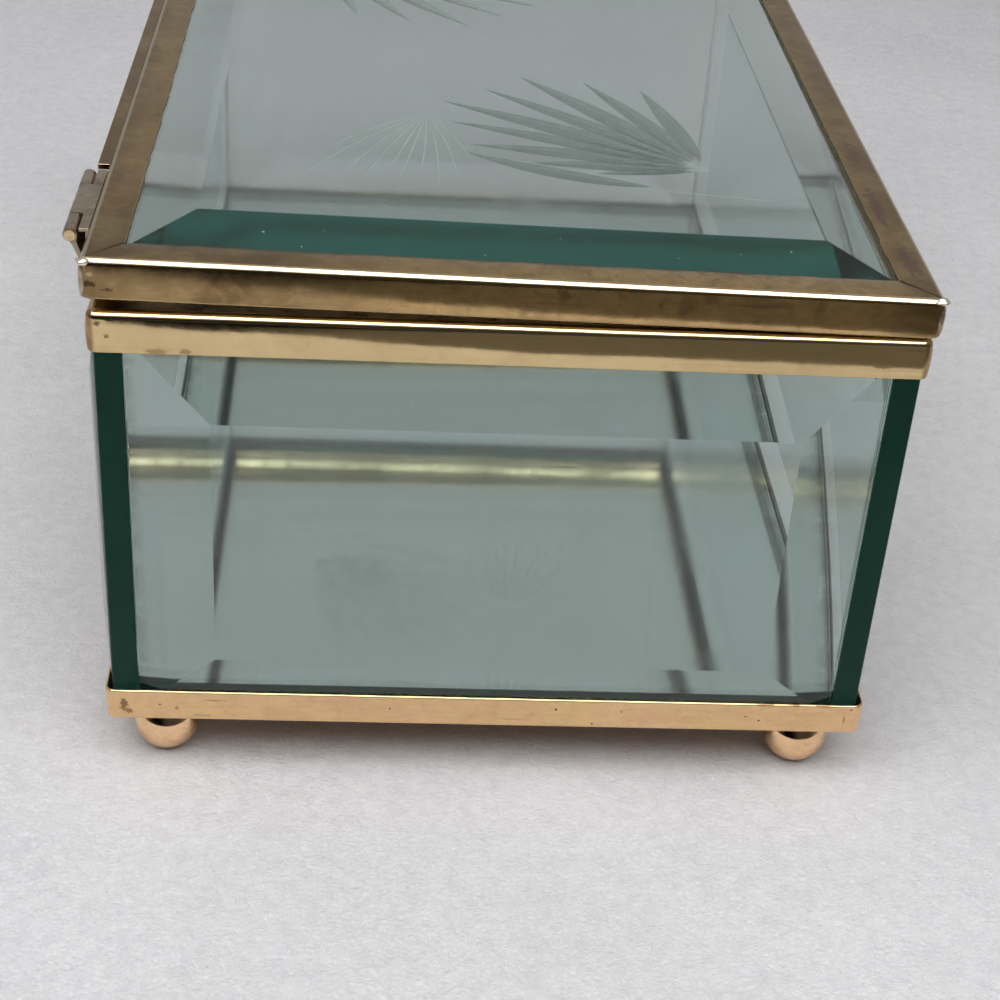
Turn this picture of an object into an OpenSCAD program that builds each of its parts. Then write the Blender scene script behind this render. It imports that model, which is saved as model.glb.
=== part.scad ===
// Bevelled-glass keepsake casket: four bevelled wall panels held between a
// rectangular base band and a top rim, a mirror floor, a framed glass lid on
// two small pin hinges along the back, and four ball feet.
// +Z is up, +X is the front (opening side), -X is the hinge side.
// The left end is -Y. The origin is on the table, under the box's middle.

/* [Case glass] */
// Width of the glass box, from front corner edge to back corner edge
glass_w = 95; // [85:0.5:110]
// Length of the glass box, from left end to right end
glass_l = 149; // [130:0.5:180]
// Height of the wall panels
wall_h = 52.4; // [45:0.2:65]
// Thickness of a wall panel at its ground edge
wall_edge = 3.2; // [3:0.1:3.5]
// Thickness of a wall panel over its flat middle
wall_full = 5.4; // [5:0.1:5.4]
// Width of the bevels along a wall panel's upright edges
bevel_side = 9.8; // [8:0.1:12]
// Width of the bevel along a wall panel's top edge
bevel_top = 10; // [9:0.1:12]
// Width of the bevel along a wall panel's bottom edge
bevel_foot = 8.8; // [8.7:0.1:12]

/* [Base] */
// Height of the base band's outside wall
band_h = 4.5; // [3.8:0.1:4.5]
// Sheet thickness of the base band
band_t = 0.3; // [0.25:0.05:0.3]
// Width of the base band's bottom flange
flange_w = 9; // [8:0.5:12]
// Thickness of the board that the walls and the mirror stand on
board_t = 1.6; // [1.6:0.1:2]
// Thickness of the mirror glass
mirror_t = 2.7; // [2.2:0.1:3.2]
// Diameter of a ball foot
foot_d = 8.5; // [7.5:0.5:9]
// Depth of the flats on the top and bottom of a ball foot
foot_cut = 0.2; // [0.1:0.05:0.3]
// Distance of a foot's middle in from the front and back glass edges
foot_in_w = 6; // [5:0.1:7]
// Distance of a foot's middle in from the end glass edges
foot_in_l = 5; // [3.6:0.1:7]

/* [Top rim] */
// Height of the top rim
rim_h = 5.1; // [4.7:0.1:5.5]
// Width of the rim's channel, outside to inside
rim_w = 5.1; // [5:0.1:6.5]
// Height of the rim's inner leg
rim_leg = 3.8; // [3.2:0.1:4.4]
// Sheet thickness of the rim
rim_t = 0.4; // [0.35:0.05:0.45]
// Depth that the wall glass stands into the rim
rim_grip = 1.9; // [1:0.1:1.9]

/* [Lid] */
// How far the lid frame stands out past the glass corner edges
lid_over = 1.15; // [1:0.05:1.4]
// Height of the lid frame
lid_h = 5.1; // [5:0.1:5.3]
// Width of the lid frame's top and bottom flanges
lid_flange = 4.8; // [4.2:0.1:5]
// Sheet thickness of the lid frame
lid_t = 0.4; // [0.35:0.05:0.45]
// Thickness of the lid glass at its ground edge
lid_edge = 3.2; // [2.8:0.1:3.2]
// Thickness of the lid glass over its flat middle
lid_full = 5.9; // [5.3:0.1:5.9]
// Width of the bevel ground round the lid glass
lid_bevel = 11.4; // [11:0.1:14]
// Slope at which the closed lid sits, hinge side high, in degrees
lid_tilt = 0.8; // [0.6:0.1:0.9]

/* [Hinges] */
// Length of a hinge
hinge_l = 17; // [14:0.5:22]
// Distance of a hinge from the glass end
hinge_in = 8.5; // [6:0.5:15]
// Distance of the pin's axis outside the lid frame
hinge_out = 2.1; // [2:0.05:2.4]
// Outside diameter of a hinge knuckle
knuckle_d = 1.7; // [1.6:0.05:1.8]
// Diameter of the hinge pin
pin_d = 0.9; // [0.8:0.05:0.95]
// Diameter of the bore in the knuckles
bore_d = 1.0; // [1:0.01:1.04]

/* [Hidden] */
$fn = 64;
hw = glass_w / 2;
hl = glass_l / 2;
// heights above the table
z_band = foot_d - 2 * foot_cut;
z_board = z_band + band_t;
z_glass = z_board + board_t;
z_walltop = z_glass + wall_h;
z_rim = z_walltop - rim_grip;
z_rimtop = z_rim + rim_h;
z_lid = z_rimtop + 0.9;
band_out = 1;
rim_out = 0.85;
silver_t = 0.1;
fit_gap = 0.1;
edge_r = 0.8;
lhw = hw + lid_over;
lhl = hl + lid_over;
// hinge axis, above the table and in the lid's own tilted frame
ax = -(lhw + hinge_out);
az = z_lid + 4.1;
axl = ax * cos(lid_tilt) - (az - z_lid) * sin(lid_tilt);
azl = ax * sin(lid_tilt) + (az - z_lid) * cos(lid_tilt);
// half of the amount by which the hinges stick out further than the front glass
shift = ((-ax + knuckle_d / 2) - (hw - wall_edge + wall_full)) / 2;

// ---- helpers ----

// rectangle with rounded corners, centred
module round_rect(w, l, r) {
    square([w - 2 * r, l], center = true);
    square([w, l - 2 * r], center = true);
    for (x = [-1, 1], y = [-1, 1])
        translate([x * (w / 2 - r), y * (l / 2 - r)]) circle(r);
}

// side outline of a block of height h, rounded at its top or bottom edges
module edge_outline(w, h, r, top) {
    translate([0, top ? (h - r) / 2 : (h + r) / 2]) square([w, h - r], center = true);
    translate([0, top ? h - r / 2 : r / 2]) square([w - 2 * r, r], center = true);
    for (x = [-1, 1]) translate([x * (w / 2 - r), top ? h - r : r]) circle(r);
}

// block with rounded corners, and rounded along its top or bottom edges
module soft_block(w, l, h, rc, re, top) {
    intersection() {
        linear_extrude(h) round_rect(w, l, rc);
        translate([0, l / 2 + 1, 0]) rotate([90, 0, 0])
            linear_extrude(l + 2) edge_outline(w, h, re, top);
        translate([-w / 2 - 1, 0, 0]) rotate([90, 0, 90])
            linear_extrude(w + 2) edge_outline(l, h, re, top);
    }
}

// section of a bevelled pane: flat at the back, bevelled at the front, with
// bevel b0 at its low end and b1 at its high end
module pane_section(w, te, tf, b0, b1) {
    polygon([[-w / 2, 0], [w / 2, 0], [w / 2, te], [w / 2 - b1, tf], [-w / 2 + b0, tf], [-w / 2, te]]);
}

// bevelled pane: width along X, height along Y, thickness along Z from its flat back;
// bs, b0 and b1 are the widths of its side, bottom and top bevels
module bevelled_pane(w, h, te, tf, bs, b0, b1) {
    intersection() {
        translate([0, h, 0]) rotate([90, 0, 0]) linear_extrude(h) pane_section(w, te, tf, bs, bs);
        translate([-w / 2, h / 2, 0]) rotate([90, 0, 90]) linear_extrude(w) pane_section(h, te, tf, b0, b1);
    }
}

// everything on the case is placed with this
module case_at() { translate([shift, 0, 0]) children(); }

// everything on the lid is drawn flat, bottom face at z = 0, and placed with this
module lid_at() { translate([shift, 0, z_lid]) rotate([0, lid_tilt, 0]) children(); }

// ---- base ----

module base_band() {
    color("#c8a878") case_at() translate([0, 0, z_band]) difference() {
        soft_block(glass_w + 2 * band_out, glass_l + 2 * band_out, band_h, 1.3, 0.5, false);
        translate([0, 0, band_t]) linear_extrude(band_h)
            round_rect(glass_w + 2 * (band_out - band_t), glass_l + 2 * (band_out - band_t), 1);
        translate([0, 0, -1]) linear_extrude(band_h)
            square([glass_w + 2 * (band_out - flange_w), glass_l + 2 * (band_out - flange_w)], center = true);
    }
}

module floor_sheet(z, t) {
    translate([0, 0, z + t / 2])
        cube([2 * (hw - wall_edge - fit_gap), 2 * (hl - wall_edge - fit_gap), t], center = true);
}

// board that fills the band's floor, with the walls and the mirror standing on it
module backing_board() {
    color("#4a4640") case_at() translate([0, 0, z_board]) linear_extrude(board_t)
        round_rect(glass_w + 2 * (band_out - band_t) - 0.2, glass_l + 2 * (band_out - band_t) - 0.2, 0.9);
}

module mirror_silvering() { color("#c9cccb") case_at() floor_sheet(z_glass, silver_t); }

module mirror_glass() { color("#7f9a90", 0.6) case_at() floor_sheet(z_glass + silver_t, mirror_t); }

module ball_foot(sx, sy) {
    color("#d9a45c") case_at() translate([sx * (hw - foot_in_w), sy * (hl - foot_in_l), 0])
        intersection() {
            translate([0, 0, foot_d / 2 - foot_cut]) sphere(d = foot_d);
            cylinder(h = z_band, d = foot_d + 1);
        }
}

module front_left_foot() { ball_foot(1, -1); }
module front_right_foot() { ball_foot(1, 1); }
module back_left_foot() { ball_foot(-1, -1); }
module back_right_foot() { ball_foot(-1, 1); }

// ---- wall panels ----

module long_pane() {
    translate([hw - wall_edge, 0, z_glass]) rotate([90, 0, 90])
        bevelled_pane(glass_l, wall_h, wall_edge, wall_full, bevel_side, bevel_foot, bevel_top);
}

module end_pane() {
    translate([0, -(hl - wall_edge), z_glass]) rotate([90, 0, 0])
        bevelled_pane(glass_w - 2 * wall_edge - 2 * fit_gap, wall_h, wall_edge, wall_full,
                      bevel_side, bevel_foot, bevel_top);
}

module front_glass() { color("#8fa79e", 0.5) case_at() long_pane(); }
module back_glass() { color("#8fa79e", 0.5) case_at() mirror([1, 0, 0]) long_pane(); }
module left_end_glass() { color("#8fa79e", 0.5) case_at() end_pane(); }
module right_end_glass() { color("#8fa79e", 0.5) case_at() mirror([0, 1, 0]) end_pane(); }

// clear cement films between the end panes and the long panes
module corner_cement() {
    color("#d8e0da", 0.6) case_at()
        for (sx = [-1, 1], sy = [-1, 1])
            translate([sx * (hw - wall_edge - fit_gap / 2), sy * (hl - wall_edge / 2), z_glass + wall_h / 2])
                cube([fit_gap, wall_edge, wall_h - 2], center = true);
}

// ---- top rim ----

module top_rim() {
    ow = glass_w + 2 * rim_out;
    ol = glass_l + 2 * rim_out;
    color("#e0b878") case_at() translate([0, 0, z_rim]) difference() {
        soft_block(ow, ol, rim_h, 1.3, edge_r, true);
        // channel that takes the glass
        translate([0, 0, -1]) linear_extrude(1 + rim_h - rim_t) difference() {
            round_rect(ow - 2 * rim_t, ol - 2 * rim_t, 0.9);
            square([ow - 2 * (rim_w - rim_t), ol - 2 * (rim_w - rim_t)], center = true);
        }
        // mouth of the box
        translate([0, 0, -1]) linear_extrude(rim_h + 2)
            square([ow - 2 * rim_w, ol - 2 * rim_w], center = true);
        // the inner leg is shorter than the outer one
        translate([0, 0, -1]) linear_extrude(1 + rim_h - rim_leg)
            square([ow - 2 * rim_w + 1, ol - 2 * rim_w + 1], center = true);
    }
}

// ---- lid ----

module lid_glass() {
    color("#93a89f", 0.5) lid_at() translate([0, -(lhl - lid_t - 0.25), lid_t + 0.03])
        bevelled_pane(2 * (lhw - lid_t - 0.25), 2 * (lhl - lid_t - 0.25), lid_edge, lid_full,
                      lid_bevel, lid_bevel, lid_bevel);
}

// channel section of a lid rail, outer face at x = 0, opening towards +X
module rail_section() {
    difference() {
        union() {
            translate([edge_r, 0]) square([lid_flange - edge_r, lid_h]);
            translate([0, edge_r]) square([lid_flange, lid_h - 2 * edge_r]);
            for (y = [edge_r, lid_h - edge_r]) translate([edge_r, y]) circle(edge_r);
        }
        translate([lid_t, lid_t]) square([lid_flange, lid_h - 2 * lid_t]);
    }
}

// rail of the lid frame with mitred ends, outer face at y = -reach, running along X
module lid_rail(reach, half) {
    seam = 0.05;
    intersection() {
        translate([-half, -reach, 0]) rotate([90, 0, 90]) linear_extrude(2 * half) rail_section();
        translate([0, 0, -1]) linear_extrude(lid_h + 2)
            polygon([[-half + seam, -reach - 0.001], [half - seam, -reach - 0.001],
                     [half - seam - 8, -reach + 8], [-half + seam + 8, -reach + 8]]);
    }
}

module lid_left_rail() { color("#a58a62") lid_at() lid_rail(lhl, lhw); }
module lid_right_rail() { color("#a58a62") lid_at() mirror([0, 1, 0]) lid_rail(lhl, lhw); }
module lid_front_rail() { color("#a58a62") lid_at() rotate([0, 0, 90]) lid_rail(lhw, lhl); }
module lid_back_rail() { color("#a58a62") lid_at() rotate([0, 0, -90]) lid_rail(lhw, lhl); }

// stiffening strip along the back of the lid, between the hinges
module lid_back_strip() {
    len = 2 * (hl - hinge_in - hinge_l - 2);
    color("#a58a62") lid_at() translate([-lhw - 1.5, -len / 2, lid_h - edge_r - 0.9]) cube([1.5, len, 0.7]);
}

// ---- hinges ----

k_end = hinge_l * 0.25;
k_gap = 0.15;
leaf_t = 0.4;

// knuckle tube along +Y from y0 to y1, centred on the origin
module knuckle(y0, y1) { translate([0, y0, 0]) rotate([-90, 0, 0]) cylinder(h = y1 - y0, d = knuckle_d, $fn = 48); }
module knuckle_bore() { translate([0, -1, 0]) rotate([-90, 0, 0]) cylinder(h = hinge_l + 2, d = bore_d, $fn = 48); }

// case leaf: two end knuckles on a slanted sheet, with a flange against the rim
module case_leaf() {
    fx = -(hw + rim_out);
    drop = az - (z_rimtop - edge_r);
    translate([ax, -hl + hinge_in, az]) difference() {
        union() {
            knuckle(0, k_end);
            knuckle(hinge_l - k_end, hinge_l);
            translate([0, hinge_l, 0]) rotate([90, 0, 0]) linear_extrude(hinge_l)
                polygon([[0.1, -knuckle_d / 2 - k_gap - 0.1], [0.75, -knuckle_d / 2 - k_gap - 0.1],
                         [fx - ax, -drop], [fx - ax, -drop - 3.2], [fx - ax - leaf_t, -drop - 3.2],
                         [fx - ax - leaf_t, -drop - 0.05]]);
            // webs that carry the end knuckles
            for (y = [0, hinge_l - k_end]) translate([0, y + k_end, 0]) rotate([90, 0, 0])
                linear_extrude(k_end) polygon([[-0.45, -0.5], [0.75, -0.5], [0.75, -knuckle_d / 2 - k_gap - 0.1],
                                               [0.1, -knuckle_d / 2 - k_gap - 0.1]]);
        }
        knuckle_bore();
    }
}

// lid leaf: one middle knuckle under a flat sheet, with a flange against the lid frame
module lid_leaf() {
    top = knuckle_d / 2;
    face = -lhw - axl - 0.005;
    translate([axl, -hl + hinge_in, azl]) difference() {
        union() {
            knuckle(k_end + k_gap, hinge_l - k_end - k_gap);
            translate([0, hinge_l - k_end - k_gap, 0]) rotate([90, 0, 0])
                linear_extrude(hinge_l - 2 * k_end - 2 * k_gap)
                    polygon([[0, 0.55], [0, top], [face, top], [face, top - leaf_t], [0.6, top - leaf_t]]);
            translate([top + k_gap, 0, top - leaf_t]) cube([face - top - k_gap, hinge_l, leaf_t]);
            translate([face - leaf_t, 0, -azl + edge_r]) cube([leaf_t, hinge_l, azl + top - edge_r]);
        }
        knuckle_bore();
    }
}

// pin with a small peened head at each end
module pin_body() {
    translate([ax, -hl + hinge_in, az]) rotate([-90, 0, 0]) {
        cylinder(h = hinge_l, d = pin_d, $fn = 48);
        translate([0, 0, -0.25]) cylinder(h = 0.25, d = 1.3, $fn = 48);
        translate([0, 0, hinge_l]) cylinder(h = 0.25, d = 1.3, $fn = 48);
    }
}

module left_hinge_case_leaf() { color("#9c8464") case_at() case_leaf(); }
module right_hinge_case_leaf() { color("#9c8464") case_at() mirror([0, 1, 0]) case_leaf(); }
module left_hinge_pin() { color("#b49a70") case_at() pin_body(); }
module right_hinge_pin() { color("#b49a70") case_at() mirror([0, 1, 0]) pin_body(); }
module left_hinge_lid_leaf() { color("#9c8464") lid_at() lid_leaf(); }
module right_hinge_lid_leaf() { color("#9c8464") lid_at() mirror([0, 1, 0]) lid_leaf(); }

base_band();
backing_board();
mirror_silvering();
mirror_glass();
left_end_glass();
right_end_glass();
front_glass();
back_glass();
corner_cement();
top_rim();
front_left_foot();
front_right_foot();
back_left_foot();
back_right_foot();
left_hinge_case_leaf();
right_hinge_case_leaf();
left_hinge_pin();
right_hinge_pin();
left_hinge_lid_leaf();
right_hinge_lid_leaf();
lid_glass();
lid_front_rail();
lid_back_rail();
lid_left_rail();
lid_right_rail();
lid_back_strip();
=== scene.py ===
import math
import random

import bmesh
import bpy
import numpy as np
from mathutils import Matrix, Vector, noise


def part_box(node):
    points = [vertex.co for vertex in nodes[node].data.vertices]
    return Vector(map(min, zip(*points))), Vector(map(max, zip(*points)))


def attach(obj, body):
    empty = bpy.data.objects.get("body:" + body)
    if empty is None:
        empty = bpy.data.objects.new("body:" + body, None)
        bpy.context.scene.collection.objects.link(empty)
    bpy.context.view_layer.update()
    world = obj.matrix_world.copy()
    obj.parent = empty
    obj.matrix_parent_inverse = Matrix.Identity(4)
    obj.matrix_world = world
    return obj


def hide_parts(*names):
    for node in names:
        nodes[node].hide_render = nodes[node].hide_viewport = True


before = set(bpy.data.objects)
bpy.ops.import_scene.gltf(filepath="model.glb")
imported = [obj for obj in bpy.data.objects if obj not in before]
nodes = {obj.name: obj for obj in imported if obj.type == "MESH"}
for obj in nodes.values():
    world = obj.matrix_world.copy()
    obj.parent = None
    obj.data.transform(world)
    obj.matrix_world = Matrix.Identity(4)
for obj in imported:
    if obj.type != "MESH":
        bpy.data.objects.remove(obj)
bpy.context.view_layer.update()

MM = 0.001
scene = bpy.context.scene

# the part's own sizes, in mm
HW, HL = 47.5, 74.5                 # half the width and length of the glass box
Z_BAND, BAND_H = 8.1, 4.5
Z_GLASS, Z_MIRROR = 10.0, 12.8
Z_RIM, RIM_H = 60.5, 5.1
Z_LID, LID_H = 66.5, 5.1
SHIFT = 0.95
TILT = math.radians(0.8)

# ---------------------------------------------------------------- render feel
scene.view_settings.view_transform = "Standard"
scene.view_settings.look = "None"
cy = scene.cycles
cy.max_bounces = 96
cy.diffuse_bounces = 5
cy.glossy_bounces = 72
cy.transmission_bounces = 72
cy.transparent_max_bounces = 40
cy.sample_clamp_indirect = 12.0
cy.blur_glossy = 0.6
cy.use_adaptive_sampling = False

# ---------------------------------------------------------------- camera
YAW, PITCH, ROLL = (math.radians(a) for a in (4.5514, 32.3019, 4.0712))
fwd = Vector((math.sin(YAW) * math.cos(PITCH), math.cos(YAW) * math.cos(PITCH), -math.sin(PITCH)))
right = Vector((math.cos(YAW), -math.sin(YAW), 0))
up = right.cross(fwd)
cam_x = right * math.cos(ROLL) + up * math.sin(ROLL)
cam_y = -right * math.sin(ROLL) + up * math.cos(ROLL)
cam_data = bpy.data.cameras.new("camera")
cam_data.lens = 69.61
cam_data.sensor_width = 36
cam_data.clip_start = 0.01
cam_data.clip_end = 20
camera = bpy.data.objects.new("camera", cam_data)
scene.collection.objects.link(camera)
camera.matrix_world = Matrix((
    (cam_x.x, cam_y.x, -fwd.x, -14.94 * MM),
    (cam_x.y, cam_y.y, -fwd.y, (-194.69 - HL) * MM),
    (cam_x.z, cam_y.z, -fwd.z, 165.45 * MM),
    (0, 0, 0, 1)))
scene.camera = camera


# ---------------------------------------------------------------- node helpers
class Tree:
    """A small builder for a material's or the world's nodes."""

    def __init__(self, owner):
        owner.use_nodes = True
        self.t = owner.node_tree
        self.t.nodes.clear()

    def n(self, kind, **props):
        node = self.t.nodes.new(kind)
        ins = props.pop("ins", {})
        for k, v in props.items():
            setattr(node, k, v)
        for k, v in ins.items():
            self.put(node, k, v)
        return node

    def put(self, node, k, v):
        s = node.inputs[k]
        if isinstance(v, bpy.types.NodeSocket):
            self.t.links.new(v, s)
        elif isinstance(v, bpy.types.Node):
            self.t.links.new(v.outputs[0], s)
        else:
            s.default_value = v

    def math(self, op, a, b=None, c=None, clamp=False):
        node = self.n("ShaderNodeMath", operation=op, use_clamp=clamp)
        for i, v in enumerate((a, b, c)):
            if v is not None:
                self.put(node, i, v)
        return node.outputs[0]

    def mix(self, fac, a, b, kind="RGBA", blend="MIX"):
        node = self.n("ShaderNodeMix", data_type=kind)
        if kind == "RGBA":
            node.blend_type = blend
            ia, ib, out = 6, 7, 2
        else:
            ia, ib, out = 2, 3, 0
        self.put(node, 0, fac)
        self.put(node, ia, a)
        self.put(node, ib, b)
        return node.outputs[out]

    def ramp(self, fac, stops, interpolation="LINEAR"):
        node = self.n("ShaderNodeValToRGB", ins={"Fac": fac})
        r = node.color_ramp
        r.interpolation = interpolation
        while len(r.elements) < len(stops):
            r.elements.new(0.5)
        for e, (p, c) in zip(r.elements, stops):
            e.position = p
            e.color = (c, c, c, 1) if isinstance(c, (int, float)) else (*c[:3], 1)
        return node.outputs[0]

    def noise(self, vec, scale, detail=2.0, rough=0.5, dist=0.0, dims="3D"):
        node = self.n("ShaderNodeTexNoise", noise_dimensions=dims)
        self.put(node, "Vector", vec)
        self.put(node, "Scale", scale)
        self.put(node, "Detail", detail)
        self.put(node, "Roughness", rough)
        self.put(node, "Distortion", dist)
        return node.outputs[0]

    def scaled(self, vec, s, loc=(0, 0, 0), rot=(0, 0, 0)):
        node = self.n("ShaderNodeMapping", vector_type="POINT")
        self.put(node, "Vector", vec)
        node.inputs["Scale"].default_value = s
        node.inputs["Location"].default_value = loc
        node.inputs["Rotation"].default_value = rot
        return node.outputs[0]

    def obj(self):
        return self.n("ShaderNodeTexCoord").outputs["Object"]

    def xyz(self, vec):
        return self.n("ShaderNodeSeparateXYZ", ins={0: vec}).outputs

    def step(self, v, a, b, lo=0.0, hi=1.0):
        """Smooth step of v from lo at a to hi at b."""
        node = self.n("ShaderNodeMapRange", interpolation_type="SMOOTHSTEP")
        for k, q in (("Value", v), ("From Min", a), ("From Max", b), ("To Min", lo), ("To Max", hi)):
            self.put(node, k, q)
        return node.outputs[0]

    def specks(self, vec, scale, radius, share, seed=0.0):
        """Small round dots in a share of the cells of a Voronoi grid."""
        v = self.scaled(vec, (1, 1, 1), loc=(seed, seed * 0.7, -seed))
        node = self.n("ShaderNodeTexVoronoi", ins={"Vector": v, "Scale": scale})
        dot = self.step(node.outputs["Distance"], radius, radius * 0.5)
        pick = self.math("LESS_THAN", self.xyz(node.outputs["Color"])[0], share)
        return self.math("MULTIPLY", dot, pick)

    def spot(self, vec, centre, radii, soft=0.5, wobble=1.0, grain=None):
        """A ragged spot round a point, both in mm."""
        grain = grain or 1500 / math.sqrt(radii[0] * min(radii[1:]))
        v = self.n("ShaderNodeVectorMath", operation="SUBTRACT", ins={0: vec, 1: [q * MM for q in centre]})
        v = self.n("ShaderNodeVectorMath", operation="DIVIDE", ins={0: v, 1: [q * MM for q in radii]})
        ln = self.n("ShaderNodeVectorMath", operation="LENGTH", ins={0: v}).outputs["Value"]
        ln = self.math("ADD", ln, self.math("MULTIPLY", self.math("SUBTRACT", self.noise(vec, grain, 4, 0.68), 0.5), wobble * 2.6))
        return self.step(ln, 1.0, 1.0 - soft)

    def out(self, surface, volume=None):
        o = self.n("ShaderNodeOutputMaterial")
        self.t.links.new(surface.outputs[0], o.inputs["Surface"])
        if volume:
            self.t.links.new(volume.outputs[0], o.inputs["Volume"])


def srgb(r, g, b):
    return tuple((c / 255 / 12.92) if c <= 10.31 else ((c / 255 + 0.055) / 1.055) ** 2.4 for c in (r, g, b)) + (1.0,)


# ---------------------------------------------------------------- glass
GLASS_SIGMA = (24.5, 12.0, 14.5)   # light lost per metre of glass in red, green and blue


def make_glass(name, sigma=GLASS_SIGMA, ground=None, smudge=0.0, haze=0.0, ior=1.52, film=1.0):
    """Green-tinted glass. ground: object axes whose faces are ground, not polished; smudge: handling marks; haze: even softness; film: what a dusty surface lets through."""
    m = bpy.data.materials.new(name)
    t = Tree(m)
    density = 100.0
    p = t.n("ShaderNodeBsdfPrincipled")
    p.inputs["Base Color"].default_value = (film * 0.98, film, film * 0.975, 1) if film < 1 else (1, 1, 1, 1)
    p.inputs["IOR"].default_value = ior
    p.inputs["Transmission Weight"].default_value = 1.0
    o = t.obj()
    rough = haze
    if smudge:
        patch = t.step(t.noise(o, 45, 3, 0.55, 0.6), 0.52, 0.72)
        grain = t.step(t.noise(t.scaled(o, (1, 1.6, 1)), 420, 4, 0.65), 0.35, 0.75, 0.3, 1.0)
        rough = t.math("ADD", t.math("MULTIPLY", t.math("MULTIPLY", patch, grain), smudge), haze)
    if ground:
        nrm = t.xyz(t.n("ShaderNodeTexCoord").outputs["Normal"])
        mask = None
        for axis in ground:
            g = t.math("GREATER_THAN", t.math("ABSOLUTE", nrm["XYZ".index(axis)]), 0.45)
            mask = g if mask is None else t.math("MAXIMUM", mask, g)
        grind = t.step(t.noise(t.scaled(o, (1, 1, 0.25)), 700, 3, 0.6), 0.3, 0.75, 0.32, 0.44)
        rough = t.mix(mask, rough, grind, kind="FLOAT")
        t.put(p, "Specular Tint", t.mix(mask, (1, 1, 1, 1), (0.12, 0.2, 0.17, 1)))
        t.put(p, "Base Color", t.mix(mask, (1, 1, 1, 1), (0.28, 0.50, 0.44, 1)))
    t.put(p, "Roughness", rough)
    v = t.n("ShaderNodeVolumeAbsorption")
    v.inputs["Color"].default_value = (*[1 - s / density for s in sigma], 1)
    v.inputs["Density"].default_value = density
    t.out(p, v)
    return m


# ---------------------------------------------------------------- metal
def make_metal(name, base, dark, rough=0.16, tarnish=0.4, tone=None, streak=0.0, dots=0.0, wave=0.3, spots=(), big=60, extra=None, dull=0.16, mottle=0.0, crest_highlight=None):
    """Brass sheet: a clean colour, patches that darken to 'dark', drawn lines along the strip, small dots, single
    marks, and a paler colour painted on the rounded upper edges as a highlight.
    """
    m = bpy.data.materials.new(name)
    t = Tree(m)
    o = t.obj()
    fine = t.noise(o, 1100, 4, 0.65)
    patch = t.step(t.noise(o, big, 5, 0.62, 0.5), 0.42, 0.68)
    small = t.step(t.noise(o, big * 5.5, 4, 0.6, 0.8), 0.5, 0.66)
    mask = t.math("MULTIPLY", t.math("ADD", patch, t.math("MULTIPLY", small, 0.55)), tarnish, clamp=True)
    if extra:
        mask = t.math("MAXIMUM", mask, extra(t, o))
    col = t.mix(mask, (*base, 1), (*dark, 1))
    if tone:
        col = t.mix(t.step(t.noise(o, big * 1.7, 3, 0.5), 0.4, 0.7, 0.0, 0.6), col, (*tone, 1))
    rgh = t.math("ADD", t.math("MULTIPLY", fine, 0.12), t.math("ADD", t.math("MULTIPLY", mask, dull), rough - 0.06))
    if mottle:
        curl = t.noise(t.scaled(o, (1, 1, 2.2)), 300, 6, 0.6, 1.6)
        col = t.mix(t.math("MULTIPLY", t.step(curl, 0.48, 0.60), mottle), col, (*dark, 1))
        col = t.mix(t.math("MULTIPLY", t.step(curl, 0.46, 0.36), mottle * 0.5), col, (*[min(1, q * 1.35) for q in base], 1))
    if streak:
        line = t.step(t.noise(t.scaled(o, (14, 14, 1500)), 1, 3, 0.6), 0.5, 0.72)
        line = t.math("MULTIPLY", line, t.step(t.noise(o, 90, 2, 0.5), 0.4, 0.62))
        col = t.mix(t.math("MULTIPLY", line, streak), col, (*dark, 1))
    if dots:
        dot = t.math("MAXIMUM", t.specks(o, 420, 0.10, dots), t.specks(o, 190, 0.085, dots * 0.5, 0.37))
        col = t.mix(t.math("MULTIPLY", dot, 0.85), col, (0.05, 0.03, 0.015, 1))
        rgh = t.math("ADD", rgh, t.math("MULTIPLY", dot, 0.3))
    # painted highlight: a paler colour on the rounded edges that lean upwards, where the lamp's reflection lies
    if crest_highlight:
        up = t.math("ABSOLUTE", t.xyz(t.n("ShaderNodeTexCoord").outputs["Normal"])[2])
        painted_highlight = t.math("MULTIPLY", t.step(up, 0.35, 0.6), t.step(up, 0.985, 0.93))
        painted_highlight = t.math("MULTIPLY", painted_highlight, t.step(t.noise(o, 350, 4, 0.6), 0.25, 0.5, 0.5, 0.95))
        col = t.mix(painted_highlight, col, (*crest_highlight, 1))
    for centre, radii, amount, colour in spots:
        sp = t.math("MULTIPLY", t.spot(o, centre, radii), amount)
        col = t.mix(sp, col, (*colour, 1))
        rgh = t.math("ADD", rgh, t.math("MULTIPLY", sp, 0.2))
    p = t.n("ShaderNodeBsdfPrincipled")
    p.inputs["Metallic"].default_value = 1.0
    t.put(p, "Base Color", col)
    t.put(p, "Roughness", rgh)
    bump = t.n("ShaderNodeBump")
    bump.inputs["Strength"].default_value = wave
    bump.inputs["Distance"].default_value = 0.0002
    t.put(bump, "Height", t.math("ADD", t.noise(o, 120, 2, 0.5), t.math("MULTIPLY", fine, 0.05)))
    t.put(p, "Normal", bump.outputs[0])
    t.out(p)
    return m


NEAR = -HL - 1.0
STAIN = (0.22, 0.13, 0.06)
end_glass = make_glass("end_glass_clear", ground="Z", smudge=0.05)
long_glass = make_glass("long_glass_clear", ground="YZ", smudge=0.05)
lid_glass_m = make_glass("lid_glass_clear", sigma=(17.2, 7.4, 8.1), smudge=0.06, haze=0.03, film=0.82)
floor_glass = make_glass("mirror_glass_clear", smudge=0.05)
cement_m = make_glass("cement_clear", sigma=(12.0, 12.0, 16.0), smudge=0.3, ior=1.5)



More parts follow.
